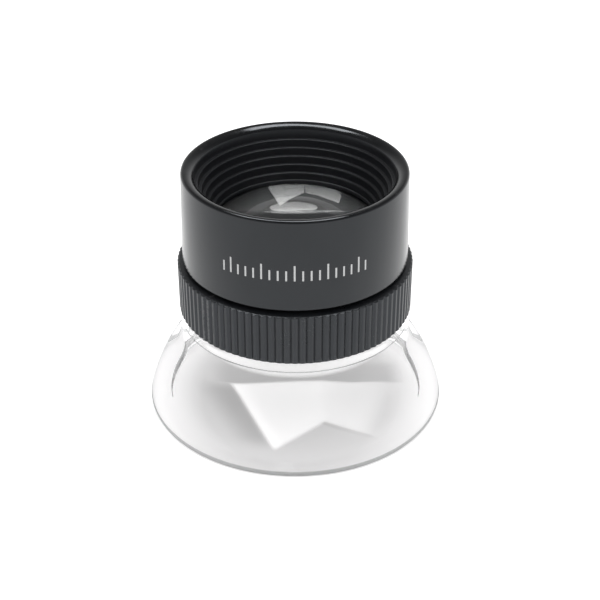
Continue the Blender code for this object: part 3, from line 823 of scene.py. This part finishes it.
def floor_material():
    """White paper: matt, faintly mottled, lit evenly outside the foot, with painted light fading in
    under the skirt wall. Inside it lies the painted two-lobed patch of light that comes down through
    the lenses, with soft painted shade around it."""
    graph = material_graph("white_paper")
    x, y, _ = graph.split(graph.place())
    open_floor = graph.remap(graph.length(x, y), (21.5 * MM, 22.5 * MM))
    oval_x, oval_y = 17.6 * MM, 24.5 * MM    # half widths of the oval shade under the wall
    oval = graph.square_sum(graph.times(x, 1 / oval_x), graph.times(y, 1 / oval_y))
    # painted light: the floor's glow fades in under the skirt wall, leaving the oval inside it in
    # shade
    under_wall_glow = graph.remap(oval, (0.65, 1.35), to=(0.0, WALL_LIFT))
    open_floor = graph.math("MAXIMUM", open_floor, under_wall_glow)

    left_lobe = patch(graph, x, y, "left_lobe")
    right_lobe = patch(graph, x, y, "right_lobe")
    edge_glow = patch(graph, x, y, "edge_glow")
    fading = graph.remap(x, (2.0 * MM, 13.0 * MM), to=(1.0, 0.50))
    lit = graph.math("MAXIMUM", left_lobe, graph.times(right_lobe, fading))
    glow_gain, strip_gain, notch_shade_gain, crescent_gain = 0.25, 0.72, 0.6, 0.95
    lit = graph.math("MULTIPLY_ADD", edge_glow, glow_gain, lit)

    shade_mask = patch(graph, x, y, "left_shade")
    left_strip = patch(graph, x, y, "left_strip")
    strip = graph.math("MAXIMUM", left_strip, patch(graph, x, y, "right_strip"))
    # light that the neck of the skirt gathers into a crescent behind the shaded strip
    crescent_y, crescent_edge = 19.1, (17.5, 16.7)
    from_x = graph.times(x, PER_METRE)
    from_y = graph.math("MULTIPLY_ADD", y, PER_METRE, -crescent_y)
    crescent = graph.remap(graph.length(from_x, from_y), crescent_edge)
    shade_mask = graph.math("MAXIMUM", shade_mask, graph.times(strip, strip_gain))
    # painted shade: a thin dark line along the lower edge of the right lobe
    notch_shade = patch(graph, x, y, "notch_shade")
    shade_mask = graph.math("MAXIMUM", shade_mask, graph.times(notch_shade, notch_shade_gain))
    shade_mask = graph.times(shade_mask, graph.math("SUBTRACT", 1.0, crescent))
    lit = graph.math("MAXIMUM", lit, graph.times(crescent, crescent_gain))

    mottle = graph.noise(size_mm=0.4, detail=3.0, rough=0.6)
    tone = graph.blend(mottle, (0.93, 0.93, 0.93), (0.95, 0.95, 0.95))
    tone = graph.blend(graph.times(shade_mask, PATCH_SHADE), tone, (0.4, 0.4, 0.4))
    glow = graph.math("MULTIPLY_ADD", lit, PATCH_LIFT, graph.times(open_floor, FLOOR_LIFT))
    return graph.finish(
        graph.principled(
            Base_Color=tone,
            Roughness=0.9,
            Specular_IOR_Level=0.1,
            Emission_Color=(1.0, 1.0, 1.0),
            Emission_Strength=glow,
        )
    )


FLOOR_HALF, FLOOR_Z = 2.0, -0.00004          # metres
floor_corners = [
    (side_x * FLOOR_HALF, side_y * FLOOR_HALF, FLOOR_Z)
    for side_x, side_y in ((-1, -1), (1, -1), (1, 1), (-1, 1))
]
floor = mesh_object("paper_floor", floor_corners, [(0, 1, 2, 3)], sharp=None)
# the volume test in mesh_object cannot tell which way an open sheet should face
if floor.data.polygons[0].normal.z < 0:
    floor.data.flip_normals()
paint(floor, floor_material())

# ------------------------------------------------------------------ light
SKY_SPAN = (0.10, 0.62)                      # upward part of the direction, where it dims
SKY_LOW, SKY_HIGH = 1.12, 0.28               # strength at the horizon and overhead
SKY_EVEN, SKY_TILT = 1.29, 0.10              # strength on matt surfaces, and its gain towards +X


def studio_sky():
    """A white room: bright towards the horizon and dim overhead where it is mirrored or refracted,
    almost even where it falls on matt surfaces."""
    world = bpy.data.worlds.new("white_studio")
    scene.world = world
    graph = Graph(world, output="OutputWorld", spare=0.5)
    x, _, z = graph.split(graph.place("Generated"))
    ramp = graph.remap(z, SKY_SPAN, to=(SKY_LOW, SKY_HIGH), smooth=True)
    path = graph.node("LightPath").outputs
    matt = graph.math("GREATER_THAN", path["Diffuse Depth"], 0.5)
    even = graph.math("ADD", SKY_EVEN, graph.times(x, SKY_TILT))
    seen = graph.math("MAXIMUM", ramp, graph.times(path["Is Camera Ray"], SKY_LOW))
    not_matt = graph.math("SUBTRACT", 1.0, matt)
    strength = graph.math("ADD", graph.times(matt, even), graph.times(not_matt, seen))
    graph.finish(graph.socket("Background", Strength=strength))


def softbox(name, corners, distance, strength, by_lens):
    """A bright panel overhead, distance in metres, its corners (x, y) over that distance. With
    by_lens it shows only to rays that went through glass at least twice, otherwise only to rays
    that went through none. It never lights matt surfaces."""
    mesh = bpy.data.meshes.new(name)
    verts = [(x * distance, y * distance, distance + 0.03) for x, y in corners]
    mesh.from_pydata(verts, [], [tuple(range(len(corners)))])
    obj = add_object(name, mesh)
    graph = material_graph(name + "_light")
    path = graph.node("LightPath").outputs
    matt = graph.math("GREATER_THAN", path["Diffuse Depth"], 0.5)
    inside = graph.math("GREATER_THAN", path["Transmission Depth"], 1.5 if by_lens else 0.5)
    wrong_way = graph.math("SUBTRACT", 1.0, inside) if by_lens else inside
    hidden = graph.math("MAXIMUM", matt, wrong_way)
    emission = graph.socket("Emission", Strength=strength)
    paint(obj, graph.finish(graph.mix(hidden, emission, graph.socket("BsdfTransparent"))))
    obj.visible_camera = False
    obj.visible_diffuse = False
    obj.visible_shadow = False


studio_sky()
round_corners = [
    (0.013 + 0.265 * math.cos(TAU * k / 24), 1.055 + 0.17 * math.sin(TAU * k / 24))
    for k in range(24)
]
for name, distance, strength, by_lens, corners in (
    ("softbox_right", 1.2, 10.0, False,
     [(0.465, -0.026), (0.209, 0.60), (-0.074, 0.317), (-0.05, -0.018)]),
    ("softbox_left", 1.2, 10.0, False,
     [(-0.05, -0.018), (-0.074, 0.317), (-0.439, 0.478), (-0.535, -0.009)]),
    ("window_right", 1.25, 4.2, True,
     [(0.322, -0.05), (0.156, 1.0), (-0.088, 0.59), (-0.088, -0.05)]),
    ("window_left", 1.25, 3.4, True,
     [(-0.088, -0.05), (-0.098, 0.59), (-0.50, 0.82), (-0.56, -0.05)]),
    ("window_round", 1.3, 1.7, True, round_corners),
):
    softbox(name, corners, distance, strength, by_lens)

# ------------------------------------------------------------------ camera and render
CAMERA_PLACE = (0.0007, -0.15991, 0.11508)   # metres
CAMERA_DIP = 0.5578                          # radians below level

camera = bpy.data.cameras.new("camera")
camera.sensor_width = 36.0
camera.lens = 76.54
camera.clip_start = 0.001
camera_obj = add_object("camera", camera)
camera_obj.location = CAMERA_PLACE
camera_obj.rotation_euler = (math.pi / 2 - CAMERA_DIP, 0.0, 0.0)
scene.camera = camera_obj

scene.view_settings.view_transform = "Standard"
scene.view_settings.look = "None"
scene.cycles.blur_glossy = 0.0
scene.cycles.max_bounces = 24
scene.cycles.transmission_bounces = 20
scene.cycles.glossy_bounces = 8
scene.cycles.caustics_reflective = True
scene.cycles.caustics_refractive = True
